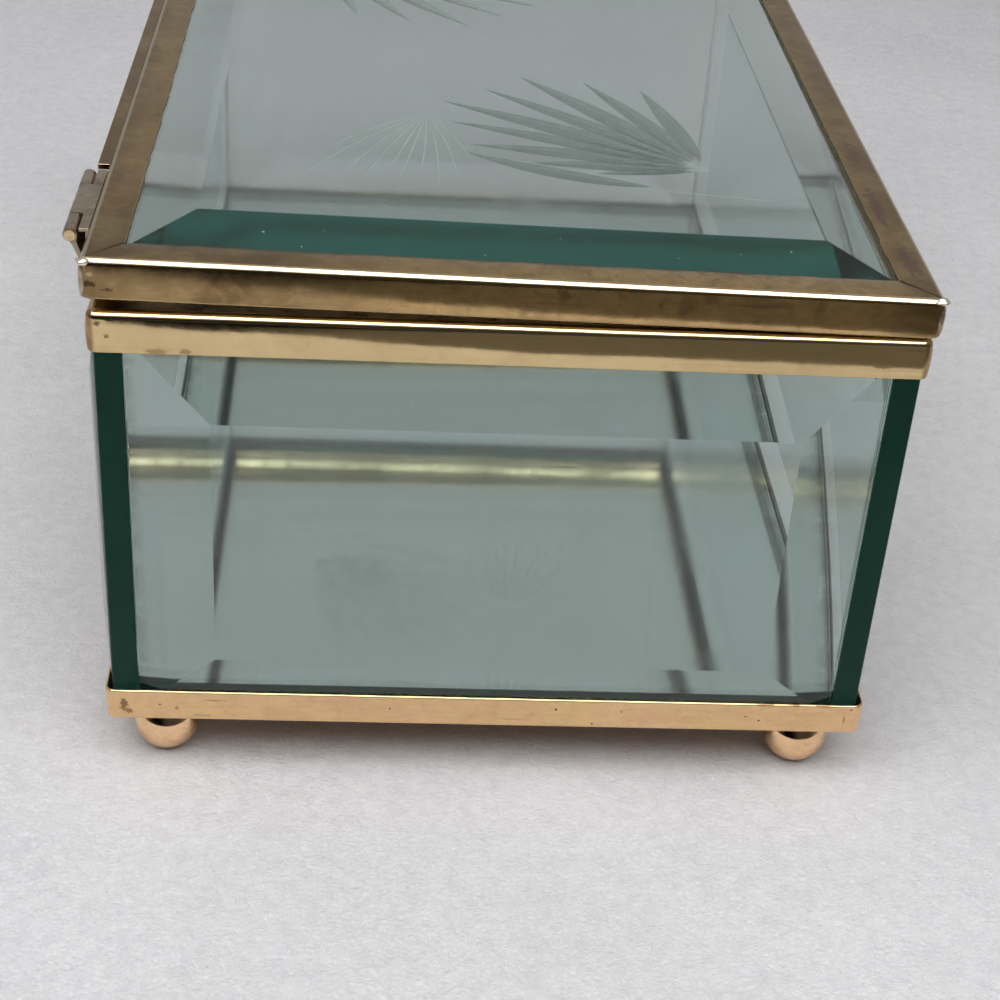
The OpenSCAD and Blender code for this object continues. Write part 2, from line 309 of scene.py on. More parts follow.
def corner_dark_reflection(t, o):
    """Brown darkening round the rim's rounded vertical corners: a painted dark reflection."""
    x, y, z = t.xyz(o)
    ax_ = t.step(t.math("ABSOLUTE", t.math("SUBTRACT", x, SHIFT * MM)), 0.0470, 0.0477)
    ay_ = t.step(t.math("ABSOLUTE", y), 0.0738, 0.0746)
    nz = t.step(t.noise(t.scaled(o, (1, 1, 0.4)), 900, 4, 0.6), 0.2, 0.6, 0.55, 1.0)
    return t.math("MULTIPLY", t.math("MULTIPLY", ax_, ay_), nz)


# the rim's corners get a painted dark reflection through extra
rim_brass = make_metal("rim_gold", (0.69, 0.53, 0.28), (0.30, 0.18, 0.08), rough=0.085, tarnish=0.16, streak=0.35, dots=0.05, extra=corner_dark_reflection, spots=[
    ((-45.9, NEAR, 64.2), (0.5, 2, 0.35), 0.9, STAIN), ((-44.9, NEAR, 62.7), (0.35, 2, 0.3), 0.8, STAIN),
    ((-39.5, NEAR, 60.9), (1.6, 2, 0.45), 0.6, STAIN), ((-36.2, NEAR, 61.0), (0.8, 2, 0.4), 0.6, STAIN),
    ((43.5, NEAR, 62.1), (1.4, 2, 0.25), 0.7, STAIN)])


def low_darkening(t, o):
    """Darker on the lower part of the rim's inner side, with a ragged upper edge."""
    x, y, z = t.xyz(o)
    zz = t.math("ADD", z, t.math("MULTIPLY", t.math("SUBTRACT", t.noise(t.scaled(o, (1, 1, 0.3)), 160, 4, 0.6), 0.5), 0.0012))
    return t.step(zz, 0.0640, 0.0635, 0.0, 1.0)


rim_inner = make_metal("rim_inner_gold", (0.82, 0.68, 0.44), (0.10, 0.085, 0.05), rough=0.26, tarnish=0.5, streak=1.0, dots=0.1, big=110, extra=low_darkening)
# the rim's top, in the gap under the lid, is dark brown: a painted shade of that gap
rim_top = make_metal("rim_top_painted_shade", (0.30, 0.18, 0.07), (0.12, 0.06, 0.02), rough=0.3, tarnish=0.8, streak=0.4, dots=0.1, big=120)
flange_gold = make_metal("flange_inner_gold", (0.95, 0.78, 0.40), (0.60, 0.46, 0.20), rough=0.55, tarnish=0.4, streak=0.6, dots=0.1, big=130)
lid_channel = make_metal("lid_channel_dull", (0.52, 0.52, 0.40), (0.30, 0.30, 0.22), rough=0.5, tarnish=0.7, big=150)
# near-black inside the rim's channel and on the band's inner side: painted shade in these recesses
channel = make_metal("channel_dull", (0.075, 0.068, 0.045), (0.03, 0.026, 0.02), rough=0.5, tarnish=0.8, big=150)
band_brass = make_metal("band_gold", (0.83, 0.545, 0.295), (0.48, 0.29, 0.14), rough=0.19, tarnish=0.25, tone=(0.76, 0.54, 0.25), streak=0.25, dots=0.12, mottle=0.14, spots=[
    ((36.6, NEAR, 12.5), (1.7, 2, 0.13), 0.85, STAIN), ((40.6, NEAR, 12.5), (1.0, 2, 0.12), 0.85, STAIN), ((44.2, NEAR, 12.5), (1.4, 2, 0.14), 0.85, STAIN),
    ((-12.0, NEAR, 10.2), (7.0, 2, 1.4), 0.22, (0.80, 0.42, 0.28)), ((22.0, NEAR, 10.0), (6.0, 2, 1.2), 0.22, (0.80, 0.42, 0.28)),
    ((-45.2, NEAR, 10.5), (0.55, 2, 1.3), 0.85, STAIN), ((-44.6, NEAR, 9.5), (0.7, 2, 0.5), 0.75, STAIN),
    ((-40.7, NEAR, 10.6), (0.2, 2, 0.18), 0.9, STAIN), ((-38.6, NEAR, 10.1), (0.35, 2, 0.35), 0.55, STAIN),
    ((-34.0, NEAR, 11.4), (1.7, 2, 0.16), 0.55, STAIN), ((-35.4, NEAR, 9.0), (1.4, 2, 0.14), 0.5, STAIN),
    ((47.0, NEAR, 10.4), (0.16, 2, 0.75), 0.7, STAIN), ((34.1, NEAR, 10.6), (0.3, 2, 0.2), 0.5, STAIN),
    ((4.0, NEAR, 9.4), (2.6, 2, 0.12), 0.35, STAIN), ((18.0, NEAR, 11.0), (0.25, 2, 0.25), 0.5, STAIN)])


def corner_patina(t, o):
    """More patina near the hinge corner and in the lid's corners."""
    x, y, z = t.xyz(o)
    ax_ = t.math("MULTIPLY", t.step(x, -0.006, -0.027), t.step(y, -0.05, -0.07, 0.6, 1.0))
    nz = t.step(t.noise(o, 170, 5, 0.65, 0.6), 0.12, 0.46)
    edge = t.step(t.math("ABSOLUTE", x), 0.040, 0.0475)
    return t.math("MULTIPLY", t.math("MAXIMUM", t.math("MULTIPLY", ax_, 0.95), t.math("MULTIPLY", edge, 0.85)), nz)


PURPLE = (0.20, 0.11, 0.09)
# the lid's crest colour is a painted highlight on its rounded top edges
lid_brass = make_metal("lid_bronze", (0.60, 0.40, 0.18), (0.20, 0.13, 0.06), rough=0.10, tarnish=0.62, tone=(0.46, 0.33, 0.15), streak=0.4, dots=0.08,
                       big=75, extra=corner_patina, dull=0.10, mottle=0.2, wave=0.45, crest_highlight=(0.60, 0.49, 0.32), spots=[
    ((-46.6, NEAR, 69.3), (1.1, 2, 0.5), 0.8, (0.06, 0.04, 0.02)), ((-44.4, NEAR, 68.6), (0.8, 2, 0.3), 0.7, (0.06, 0.04, 0.02)),
    ((-46.3, NEAR, 70.4), (0.4, 2, 0.35), 0.5, (0.8, 0.7, 0.5)), ((30.0, NEAR, 69.5), (3.0, 2, 0.6), 0.4, PURPLE),
    ((47.2, -66.0, 71.0), (1.3, 5.0, 1.0), 0.75, PURPLE), ((46.5, -50.0, 71.0), (0.9, 7.0, 1.0), 0.7, PURPLE),
    ((46.8, -33.0, 71.0), (1.2, 4.0, 1.0), 0.6, PURPLE), ((-22.0, NEAR, 68.9), (2.6, 2, 0.7), 0.25, PURPLE),
    ((6.0, NEAR, 69.6), (0.7, 2, 1.6), 0.45, (0.10, 0.06, 0.03)), ((17.0, NEAR, 68.8), (0.35, 2, 1.1), 0.5, (0.10, 0.06, 0.03))])
lid_under = make_metal("lid_under_brown", (0.62, 0.50, 0.31), (0.28, 0.20, 0.11), rough=0.32, tarnish=0.5, big=110)
hinge_brass = make_metal("hinge_grey", (0.50, 0.41, 0.31), (0.22, 0.17, 0.12), rough=0.26, tarnish=0.6, streak=0.3, dots=0.1, big=160)
pin_brass = make_metal("pin_gold", (0.66, 0.50, 0.30), (0.3, 0.2, 0.1), rough=0.2, tarnish=0.4, big=200)
foot_brass = make_metal("foot_gold", (0.92, 0.62, 0.36), (0.42, 0.22, 0.10), rough=0.075, tarnish=0.35, dots=0.1, big=180, wave=0.5)
bead_m = make_metal("solder_bright", (0.93, 0.86, 0.70), (0.45, 0.36, 0.24), rough=0.14, tarnish=0.3, big=400)
seam_m = make_metal("seam_dirt", (0.15, 0.085, 0.035), (0.05, 0.03, 0.02), rough=0.42, tarnish=0.5, big=400)
solder_m = make_metal("solder_grey", (0.66, 0.58, 0.44), (0.3, 0.24, 0.15), rough=0.22, tarnish=0.5, big=400)


def make_board():
    m = bpy.data.materials.new("board_fibre")
    t = Tree(m)
    o = t.obj()
    p = t.n("ShaderNodeBsdfPrincipled")
    fibre = t.noise(t.scaled(o, (1, 0.3, 1)), 900, 5, 0.7)
    t.put(p, "Base Color", t.mix(t.step(fibre, 0.3, 0.7), (0.035, 0.030, 0.026, 1), (0.085, 0.075, 0.062, 1)))
    t.put(p, "Roughness", t.math("ADD", t.math("MULTIPLY", fibre, 0.2), 0.65))
    b = t.n("ShaderNodeBump", ins={"Strength": 0.4, "Distance": 0.0001, "Height": fibre})
    t.put(p, "Normal", b.outputs[0])
    t.out(p)
    return m


def make_silver():
    """The silvered back: a soft mirror, dull smudges, ageing specks and a darker edge."""
    m = bpy.data.materials.new("silvering_aged")
    t = Tree(m)
    o = t.obj()
    x, y, z = t.xyz(o)
    p = t.n("ShaderNodeBsdfPrincipled")
    p.inputs["Metallic"].default_value = 1.0
    smudge = t.step(t.noise(o, 38, 4, 0.55, 0.4), 0.55, 0.75)
    sx = t.step(t.math("ABSOLUTE", t.math("SUBTRACT", x, SHIFT * MM)), (HW - 6.0) * MM, (HW - 3.4) * MM)
    sy = t.step(t.math("ABSOLUTE", y), (HL - 6.0) * MM, (HL - 3.4) * MM)
    rim_ = t.math("MULTIPLY", t.math("MAXIMUM", sx, sy), t.step(t.noise(o, 350, 4, 0.65), 0.3, 0.6))
    col = t.mix(t.math("MULTIPLY", smudge, 0.08), (0.90, 0.91, 0.90, 1), (0.45, 0.46, 0.44, 1))
    col = t.mix(t.math("MULTIPLY", rim_, 0.5), col, (0.25, 0.22, 0.17, 1))
    dot = t.math("MAXIMUM", t.specks(o, 160, 0.05, 0.12), t.specks(o, 60, 0.022, 0.2, 0.61))
    col = t.mix(t.math("MULTIPLY", dot, 0.8), col, (0.08, 0.08, 0.07, 1))
    t.put(p, "Base Color", col)
    t.put(p, "Roughness", t.math("ADD", t.math("MULTIPLY", smudge, 0.03), 0.034))
    t.out(p)
    return m


def make_frost(name="cut_frost", low=(0.68, 0.74, 0.71), high=(0.84, 0.89, 0.86), rough=0.19):
    """The wheel-cut surface of the leaves: ground glass with fine tool lines."""
    m = bpy.data.materials.new(name)
    t = Tree(m)
    o = t.obj()
    p = t.n("ShaderNodeBsdfPrincipled")
    p.inputs["Transmission Weight"].default_value = 1.0
    p.inputs["IOR"].default_value = 1.45
    g = t.noise(t.scaled(o, (1, 1, 1), rot=(0, 0, 0.5)), 520, 3, 0.6)
    t.put(p, "Base Color", t.mix(t.step(g, 0.3, 0.7), (*low, 1), (*high, 1)))
    t.put(p, "Roughness", t.math("ADD", t.math("MULTIPLY", g, 0.08), rough))
    t.out(p)
    return m


def make_line():
    """Fine wheel-cut lines, which scatter light and read as white hairlines."""
    m = bpy.data.materials.new("cut_line")
    t = Tree(m)
    o = t.obj()
    p = t.n("ShaderNodeBsdfPrincipled")
    p.inputs["Transmission Weight"].default_value = 0.15
    p.inputs["IOR"].default_value = 1.45
    g = t.noise(o, 900, 4, 0.7)
    t.put(p, "Base Color", t.mix(t.step(g, 0.3, 0.7), (0.84, 0.88, 0.86, 1), (0.98, 0.99, 0.98, 1)))
    t.put(p, "Roughness", t.math("ADD", t.math("MULTIPLY", g, 0.2), 0.4))
    t.out(p)
    return m


def make_lint():
    m = bpy.data.materials.new("lint_pale")
    t = Tree(m)
    p = t.n("ShaderNodeBsdfPrincipled")
    t.put(p, "Base Color", t.mix(t.noise(t.obj(), 2500, 3, 0.6), (0.62, 0.61, 0.60, 1), (0.86, 0.85, 0.84, 1)))
    p.inputs["Roughness"].default_value = 0.9
    t.out(p)
    return m


board_m, silver_m, frost_m, line_m, lint_m = make_board(), make_silver(), make_frost(), make_line(), make_lint()
frost_soft = make_frost("cut_frost_soft", (0.84, 0.88, 0.86), (0.93, 0.96, 0.94), 0.12)

SLOT = {
    "band_brass": band_brass, "rim_brass": rim_brass, "lid_brass": lid_brass, "hinge_brass": hinge_brass,
    "pin_brass": pin_brass, "foot_brass": foot_brass, "wall_glass": end_glass, "lid_glass": lid_glass_m,
    "mirror_glass": floor_glass, "silvering": silver_m, "board": board_m, "cement": cement_m,
}
for n, o in nodes.items():
    for i, s in enumerate(o.material_slots):
        s.material = SLOT[s.material.name.split(".")[0]]
for n in ("front_glass", "back_glass"):
    for s in nodes[n].material_slots:
        s.material = long_glass


def box_piece(name, lo, hi, material, body, bevel=0.0):
    me = bpy.data.meshes.new(name)
    bm = bmesh.new()
    bmesh.ops.create_cube(bm, size=1)
    lo, hi = Vector(lo), Vector(hi)
    for v in bm.verts:
        v.co = Vector([(lo[i] + hi[i]) / 2 + v.co[i] * (hi[i] - lo[i]) for i in range(3)])
    if bevel:
        bmesh.ops.bevel(bm, geom=bm.edges[:], offset=bevel, segments=2, affect="EDGES")
    bm.to_mesh(me)
    bm.free()
    o = bpy.data.objects.new(name, me)
    scene.collection.objects.link(o)
    me.materials.append(material)
    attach(o, body)
    return o


# ---------------------------------------------------------------- strip work
def link(name, verts, faces, material, body, smooth=35, index=None):
    me = bpy.data.meshes.new(name)
    me.from_pydata([Vector(v) * MM for v in verts], [], faces)
    me.validate()
    me.polygons.foreach_set("use_smooth", [smooth > 0] * len(me.polygons))
    if smooth > 0:
        me.set_sharp_from_angle(angle=math.radians(smooth))
    for m in material if isinstance(material, (list, tuple)) else [material]:
        me.materials.append(m)
    if index:
        me.polygons.foreach_set("material_index", index)
    o = bpy.data.objects.new(name, me)
    scene.collection.objects.link(o)
    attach(o, body)
    return o


def n3(x, y, z, s=1.0, seed=0.0):
    return noise.noise(Vector((x * s + seed, y * s - seed * 1.7, z * s + seed * 0.3)))


def face_curve(h, lo, hi, r_top, r_bot, n_face=14, n_top=12, n_bot=8):
    """Outer side of a strip, bottom to top, as (offset, height): a face that leans from lo to hi degrees between two rounded edges."""
    lo, hi = math.radians(lo), math.radians(hi)
    rf = (h - r_bot * (1 + math.sin(lo)) - r_top * (1 - math.sin(hi))) / (math.sin(hi) - math.sin(lo))
    pts, u, w = [], 0.0, 0.0
    segs = [(-math.pi / 2, lo, r_bot, n_bot), (lo, hi, rf, n_face), (hi, math.pi / 2, r_top, n_top)]
    pts.append((u, w))
    for a, b, r, n in segs:
        for i in range(n):
            t0, t1 = a + (b - a) * i / n, a + (b - a) * (i + 1) / n
            u += r * (math.cos(t1) - math.cos(t0))
            w += r * (math.sin(t1) - math.sin(t0))
            pts.append((u, w))
    top = max(p[0] for p in pts)
    return [(p[0] - top, p[1]) for p in pts]


def corner_point(hx, hy, rc, rmin, u, sx, sy, phi):
    """A point of the rounded rectangle moved out by u, in the corner (sx, sy) at angle phi."""
    r = rc + u
    cx, cy = hx - rc, hy - rc
    if r < rmin:
        cx, cy, r = cx + (r - rmin), cy + (r - rmin), rmin
    return sx * cx + r * math.cos(phi), sy * cy + r * math.sin(phi)


def straight_half(half, rc, rmin, u):
    return half - rc if rc + u >= rmin else half + u - rmin


def stations(hx, hy, rc, step, arcs=8):
    """Round the rectangle anticlockwise from the middle of the +X side: ("s", side, sigma) or ("c", corner, phi)."""
    out = []
    for k in range(4):
        length = (hy if k % 2 == 0 else hx)
        n = max(4, int(2 * length / step))
        for i in range(n + 1):
            out.append(("s", k, -1 + 2 * i / n))
        for i in range(1, arcs):
            out.append(("c", k, k * math.pi / 2 + (math.pi / 2) * i / arcs))
    return out


CORNERS = [(1, 1), (-1, 1), (-1, -1), (1, -1)]


def station_point(st, hx, hy, rc, rmin, u):
    kind, k, a = st
    if kind == "c":
        sx, sy = CORNERS[k]
        return corner_point(hx, hy, rc, rmin, u, sx, sy, a)
    nx, ny = [(1, 0), (0, 1), (-1, 0), (0, -1)][k]
    tx, ty = -ny, nx
    half_n = hx if k % 2 == 0 else hy
    half_t = hy if k % 2 == 0 else hx
    s = a * straight_half(half_t, rc, rmin, u)
    return nx * (half_n + u) + tx * s, ny * (half_n + u) + ty * s


def k_seed(i):
    return 3.0 if i else 9.0


def sweep(profile, sts, hx, hy, rc, place, closed, warp=None, rmin=0.05, trim=0.0):
    """Sweeps a closed profile of (outward, height, material) along the stations. warp(x, y, u, w) gives small moves (outward, upward) in mm; trim shortens both ends."""
    rows = []
    last = len(sts) - 1
    for i, st in enumerate(sts):
        row = []
        ox, oy = station_point(st, hx, hy, rc, rmin, 0.5)
        bx, by = station_point(st, hx, hy, rc, rmin, 0.0)
        nx, ny = ox - bx, oy - by
        ln = math.hypot(nx, ny) or 1.0
        nx, ny = nx / ln, ny / ln
        for u, w, _ in profile:
            x, y = station_point(st, hx, hy, rc, rmin, u)
            du, dw = warp(x, y, u, w) if warp else (0, 0)
            x, y = x + nx * du, y + ny * du
            if not closed and i in (0, last) and trim:
                t = trim if u > -0.9 else trim + 0.12 + 0.05 * noise.noise(Vector((u * 1.7, 4.0 + k_seed(i), 0)))
                t = t if i == 0 else -t
                x, y = x - ny * t, y + nx * t
            row.append(place(x, y, w + dw))
        rows.append(row)
    m = len(profile)
    verts = [p for r in rows for p in r]
    faces, index = [], []
    count = len(rows)
    for i in range(count if closed else count - 1):
        j = (i + 1) % count
        for a in range(m):
            b = (a + 1) % m
            faces.append((i * m + a, j * m + a, j * m + b, i * m + b))
            index.append(profile[a][2])
    if not closed:
        faces.append(tuple(range(m))[::-1])
        faces.append(tuple((count - 1) * m + a for a in range(m)))
        index += [0, 0]
    return verts, faces, index


def on_case(z0):
    return lambda x, y, w: (x + SHIFT, y, z0 + w)


def on_lid(x, y, z):
    return (SHIFT + x * math.cos(TILT) + z * math.sin(TILT), y, Z_LID - x * math.sin(TILT) + z * math.cos(TILT))


def tagged(points, tag=0):
    return [(u, w, tag) for u, w in points]


# base band: bent strip with a wall and a bottom flange
BX, BY = HW + 1.0, HL + 1.0
outer = face_curve(BAND_H, -2.0, 1.5, 0.22, 0.5, n_face=8, n_top=8, n_bot=8)
band_profile = tagged(outer) + tagged([(-0.3, 4.36), (-0.3, 0.75), (-0.42, 0.45), (-0.75, 0.3), (-4.5, 0.3), (-8.9, 0.3)], 1) + tagged([(-9.0, 0.2), (-9.0, 0.1), (-8.9, 0.0), (-4.5, 0.0)])


def band_warp(x, y, u, w):
    if u < -0.25:
        return 0, 0
    return 0.018 * n3(x, y, w, 0.09, 3.1) + 0.010 * n3(x, y, w, 0.35, 8.0), (0.03 * n3(x, y, 0, 0.6, 5.5) + 0.02 * n3(x, y, 0, 2.0, 1.5) if w > 4.3 else 0)


v, f, ix = sweep(band_profile, stations(BX, BY, 1.3, 1.0), BX, BY, 1.3, on_case(Z_BAND), True, band_warp)
band = link("brass_band", v, f, [band_brass, channel], "case", 40, ix)
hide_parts("base_band")

# top rim: channel over the walls' tops, with a slightly crowned face; painted near-black inside, a painted shade in the
# channel
RX, RY = HW + 0.85, HL + 0.85
outer = face_curve(RIM_H, -7.0, 6.5, 1.05, 0.12, n_face=18, n_top=16, n_bot=4)
rim_profile = (tagged(outer[:-1]) + tagged([outer[-1], (-2.5, 5.1), (-4.75, 5.1), (-5.0, 5.02)], 3) + tagged([(-5.1, 4.8), (-5.1, 3.2), (-5.1, 1.35)], 1)
               + tagged([(-5.05, 1.3), (-4.75, 1.3), (-4.7, 1.35), (-4.7, 4.5), (-4.5, 4.7), (-1.0, 4.7), (-0.6, 4.5), (-0.42, 4.2), (-0.4, 3.8), (-0.4, 0.1)], 2))


def rim_warp(x, y, u, w):
    if -4.9 < u < -1.2 and w < 5.0:
        return 0, 0
    a = 0.022 * n3(x, y, w, 0.07, 1.1) + 0.012 * n3(x, y, w, 0.3, 4.0)
    if u < -5.0:
        return 0.05 * n3(x, y, w, 0.15, 5.0) + 0.03 * n3(x, y, w, 0.6, 2.5), (0.08 * n3(x, y, 0, 0.5, 7.2) if w < 1.5 else 0)
    return (a if u > -1 else 0), (0.015 * n3(x, y, 0, 0.25, 2.2) if w > 4.2 else 0.04 * n3(x, y, 0, 0.9, 6.2) if w < 0.2 else 0)


v, f, ix = sweep(rim_profile, stations(RX, RY, 1.3, 1.4, 10), RX, RY, 1.3, on_case(Z_RIM), True, rim_warp)
rim = link("brass_rim", v, f, [rim_brass, rim_inner, channel, rim_top], "case", 40, ix)
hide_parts("top_rim")

# lid frame: four channel rails with mitred, soldered corners
LX, LY = HW + 1.15, HL + 1.15
outer = face_curve(LID_H, -4.0, 5.5, 1.0, 0.7, n_face=16, n_top=16, n_bot=12)
rail_profile = (tagged(outer) + tagged([(-2.5, 5.1), (-4.6, 5.1), (-4.74, 5.05), (-4.8, 4.92)])
                + tagged([(-4.8, 4.8), (-4.74, 4.7), (-2.5, 4.7)], 3) + tagged([(-1.0, 4.7), (-0.6, 4.55), (-0.4, 4.2), (-0.4, 0.9), (-0.6, 0.55), (-1.0, 0.4)], 1)
                + tagged([(-4.7, 0.4), (-4.8, 0.32), (-4.8, 0.08), (-4.7, 0.0), (-2.5, 0.0)], 2))


def rail_warp(x, y, u, w):
    du = 0.02 * n3(x, y, w, 0.08, 7.7) + 0.012 * n3(x, y, w, 0.4, 1.4) if u > -1.2 else 0
    if u < -4.55 and w > 4.6:
        s = n3(x, y, 0, 0.55, 4.4)
        du = 0.12 * n3(x, y, 0, 0.35, 9.2) + 0.07 * n3(x, y, 0, 1.3, 2.9) - 0.35 * max(0.0, s - 0.25)
    return du, (0.014 * n3(x, y, 0, 0.3, 3.3) if w > 4.3 else 0)


ring = stations(LX, LY, 1.0, 1.2, 8)
n_ring = len(ring)
mid = {k: next(i for i, st in enumerate(ring) if st[0] == "c" and st[1] == k and abs(st[2] - (k + 0.5) * math.pi / 2) < 1e-6) for k in range(4)}
# sides run from one corner's middle to the next
for node_name, piece, k0, k1, trim in [
        ("lid_front_rail", "rail_front", 3, 0, 0.012), ("lid_right_rail", "rail_right", 0, 1, 0.012),
        ("lid_back_rail", "rail_back", 1, 2, 0.03), ("lid_left_rail", "rail_left", 2, 3, 0.03)]:
    i0, i1 = mid[k0], mid[k1]
    idx = [i % n_ring for i in range(i0, (i1 if i1 > i0 else i1 + n_ring) + 1)]
    v, f, ix = sweep(rail_profile, [ring[i] for i in idx], LX, LY, 1.0, on_lid, False, rail_warp, trim=trim)
    r = link(piece, v, f, [lid_brass, lid_channel, lid_under, flange_gold], "lid", 40, ix)
    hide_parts(node_name)


# ---------------------------------------------------------------- solder and lint
def blob(name, centre, radii, material, body, seed, lump=0.18, sub=3):
    """A small lumpy bead."""
    me = bpy.data.meshes.new(name)
    bm = bmesh.new()
    bmesh.ops.create_icosphere(bm, subdivisions=sub, radius=1)
    for v in bm.verts:
        k = 1 + lump * noise.noise(v.co * 1.6 + Vector((seed, -seed, seed * 0.5)))
        v.co = Vector([centre[i] + v.co[i] * radii[i] * k for i in range(3)]) * MM
    for f in bm.faces:
        f.smooth = True
    bm.to_mesh(me)
    bm.free()
    me.materials.append(material)
    o = bpy.data.objects.new(name, me)
    scene.collection.objects.link(o)
    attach(o, body)
    return o


rng = random.Random(11)
for i, (sx, sy) in enumerate([(-1, -1), (1, -1), (-1, 1), (1, 1)]):
    fx, fy = SHIFT + sx * (HW - 6.0), sy * (HL - 5.0)
    for j in range(7):
        a = rng.uniform(0, 2 * math.pi) if j else (2.4 if sx < 0 else 0.7)
        rr = rng.uniform(2.0, 3.0)
        s = rng.uniform(0.25, 0.55)
        blob(f"foot_solder_{i}_{j}", (fx + rr * math.cos(a), fy + sy * rr * abs(math.sin(a)), Z_BAND - 0.28 * s - 0.04), (s, s * 0.9, s * 0.6), solder_m, "case", i * 9 + j)
    # solder in the lid frame's corners
    cx_, cy_ = sx * (LX - 0.62), sy * (LY - 0.55)
    p = on_lid(cx_, cy_, LID_H - (0.42 if sx > 0 or sy > 0 else 0.55))
    blob(f"lid_solder_{i}", p, (0.85, 0.66, 0.46), bead_m, "lid", 50 + i, 0.3)
    p = on_lid(sx * (LX - 0.5), sy * (LY - 0.5), 2.5)
    blob(f"lid_solder_low_{i}", p, (0.52, 0.48, 2.1), hinge_brass, "lid", 60 + i, 0.22)
    # the mitre's seam: a dark, uneven line from the corner to the inner edge
    d0, lift = (0.9, 0.018) if sx > 0 else (1.5, 0.010)
    sv, sf = [], []
    for j in range(15):
        d = d0 + (4.72 - d0) * j / 14
        h = 0.09 + 0.17 * (j / 14) + 0.06 * noise.noise(Vector((j * 0.55, i * 3.1, 0.4)))
        off = 0.10 * noise.noise(Vector((j * 0.3, i * 1.7, 5.0)))
        qx, qy = sx * (LX - d) - sy * off, sy * (LY - d) + sx * off
        for e, zz in ((-1, lift), (1, lift), (1, -0.03), (-1, -0.03)):
            sv.append(on_lid(qx - sy * h * e * 0.707, qy + sx * h * e * 0.707, LID_H + zz))
    for j in range(14):
        for e in range(4):
            sf.append((4 * j + e, 4 * j + (e + 1) % 4, 4 * j + 4 + (e + 1) % 4, 4 * j + 4 + e))
    sf += [(3, 2, 1, 0), (56, 57, 58, 59)]
    seam = link(f"mitre_seam_{i}", sv, sf, seam_m, "lid", 0)
    bm = bmesh.new()
    bm.from_mesh(seam.data)
    bmesh.ops.recalc_face_normals(bm, faces=bm.faces)
    bm.to_mesh(seam.data)
    bm.free()
for i in range(22):
    if i % 3 == 0:
        p = on_lid(rng.uniform(-34, 34), -LY + rng.uniform(6.0, 10.5), 0)
        zz = 0.43 + 3.2 + (p[1] + LY - 0.65) * 2.7 / 11.4 + 0.02
        p = on_lid(p[0] - SHIFT, p[1], zz)
        body = "lid"
    else:
        p = (rng.uniform(-38, 40), rng.uniform(-66, 40), Z_MIRROR + 0.05)
        body = "case"
    s = rng.uniform(0.03, 0.06)
    blob(f"lint_{i}", p, (s * rng.uniform(0.8, 3.0), s, 0.03), lint_m, body, i, 0.5, 2)


# ---------------------------------------------------------------- leaves cut in the underside of the lid glass
def leaf(name, base, angle, length, width, bend, depth=0.09, n=26, material=None):
    """A long pointed leaf, flat against the glass, with a ridge along its middle that splits it into two facets."""
    verts, faces = [], []
    for i in range(n + 1):
        s = i / n
        a = angle + bend * s
        a0 = angle + bend * s * 0.5
        x = base[0] + length * s * math.cos(a0)
        y = base[1] + length * s * math.sin(a0)
        w = width / 2 * (math.sin(math.pi * min(1.0, s ** 0.85)) ** 0.9 if 0 < i < n else 0.0) + 0.012
        nx, ny = -math.sin(a), math.cos(a)
        d = depth * min(1.0, w / (width / 2))
        for k, zz in ((-1, -0.014), (-0.12, -0.014), (1, -0.014)):
            verts.append(on_lid(x + nx * w * k, y + ny * w * k, 0.43 + zz))
        verts.append(on_lid(x + nx * w * -0.12, y + ny * w * -0.12, 0.43 - 0.02 - d))
    for i in range(n):
        a, b = 4 * i, 4 * i + 4
        faces += [(a, b, b + 1, a + 1), (a + 1, b + 1, b + 2, a + 2), (a + 2, b + 2, b + 3, a + 3), (a + 3, b + 3, b, a)]
    faces += [(0, 1, 2, 3), (4 * n + 3, 4 * n + 2, 4 * n + 1, 4 * n)]
    me_obj = link(name, verts, faces, material or frost_m, "lid", 0)
    bm = bmesh.new()
    bm.from_mesh(me_obj.data)
    bmesh.ops.recalc_face_normals(bm, faces=bm.faces)
    bm.to_mesh(me_obj.data)
    bm.free()
    return me_obj


